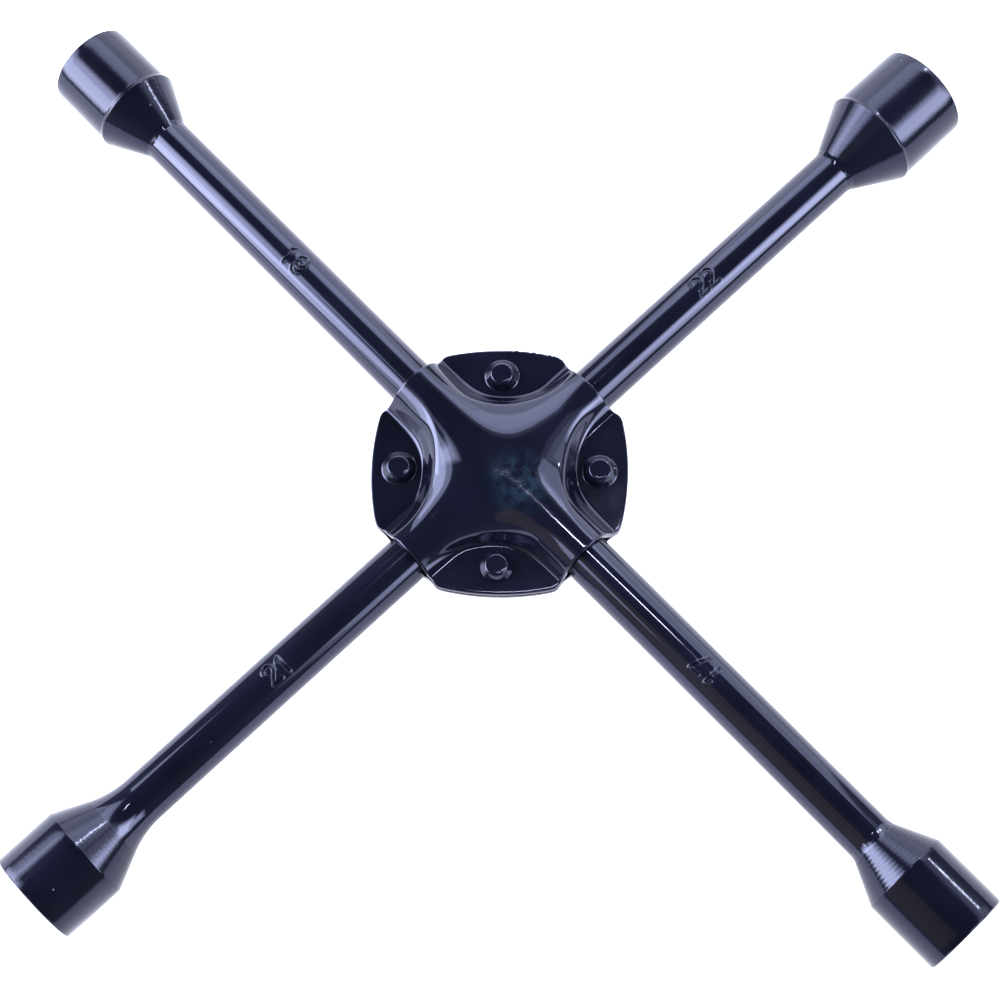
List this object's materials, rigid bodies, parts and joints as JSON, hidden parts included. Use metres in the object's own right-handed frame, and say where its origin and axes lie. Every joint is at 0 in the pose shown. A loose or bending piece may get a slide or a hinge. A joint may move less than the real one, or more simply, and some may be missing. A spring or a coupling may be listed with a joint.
{
  "type": "lug wrench",
  "caption": "Cross-shaped wheel nut wrench: crossed round bars under riveted pressed hub plates, each arm ending in a hexagon socket of its own size.",
  "frame": {"origin": "centre of the hub, halfway between the axes of the two bars where they pass each other", "axes": "+X along the bar towards the 17 mm socket, +Y along the bar towards the 22 mm socket, +Z out of the side with the stamped sizes"},
  "size_m": [0.41, 0.397, 0.0378],
  "materials": {
    "bar_paint": "gloss black paint",
    "socket_paint": "gloss black paint, thin and worn inside the hexagon",
    "plate_paint": "gloss black paint on pressed sheet",
    "rivet_paint": "gloss black paint, pooled round the heads",
    "weld_paint": "gloss black paint over weld metal",
    "inner_weld": "bare weld metal, hidden between the hub plates"
  },
  "bodies": {
    "root": {"bar_19_17": "bar_paint", "bar_21_22": "bar_paint", "plate_top": "plate_paint", "plate_bottom": "plate_paint", "socket_17": "socket_paint", "neck_weld_17": "weld_paint", "socket_19": "socket_paint", "neck_weld_19": "weld_paint", "socket_21": "socket_paint", "neck_weld_21": "weld_paint", "socket_22": "socket_paint", "neck_weld_22": "weld_paint", "rivet_1": "rivet_paint", "cross_weld_1": "inner_weld", "rivet_2": "rivet_paint", "cross_weld_2": "inner_weld", "rivet_3": "rivet_paint", "cross_weld_3": "inner_weld", "rivet_4": "rivet_paint", "cross_weld_4": "inner_weld"}
  },
  "joints": []
}
